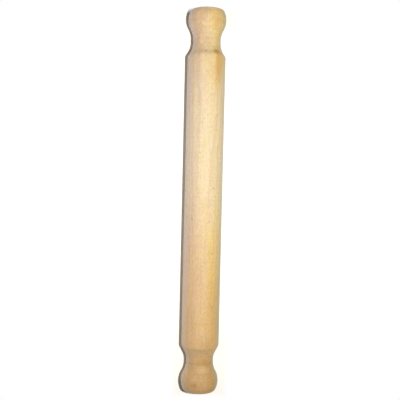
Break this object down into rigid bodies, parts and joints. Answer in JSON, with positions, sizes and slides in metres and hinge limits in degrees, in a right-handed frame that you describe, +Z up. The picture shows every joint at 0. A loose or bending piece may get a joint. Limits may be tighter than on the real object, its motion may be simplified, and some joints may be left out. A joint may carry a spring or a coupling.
{
  "type": "rolling pin",
  "caption": "Solid one-piece wooden rolling pin: straight round barrel, hollow shoulders, narrow necks and turned ball-knob handles with flat ends.",
  "frame": {"origin": "the middle of the barrel, on the pin's axis, which is also the centre of its bounding box", "axes": "+X along the pin's axis towards one handle, +Z up when the pin lies on a table, +Y across the barrel"},
  "size_m": [0.4, 0.04, 0.04],
  "materials": {
    "beech": "lathe-turned, fine-sanded and lightly oiled steamed beech, satin"
  },
  "bodies": {
    "root": {"rolling_pin": "beech"}
  },
  "joints": []
}
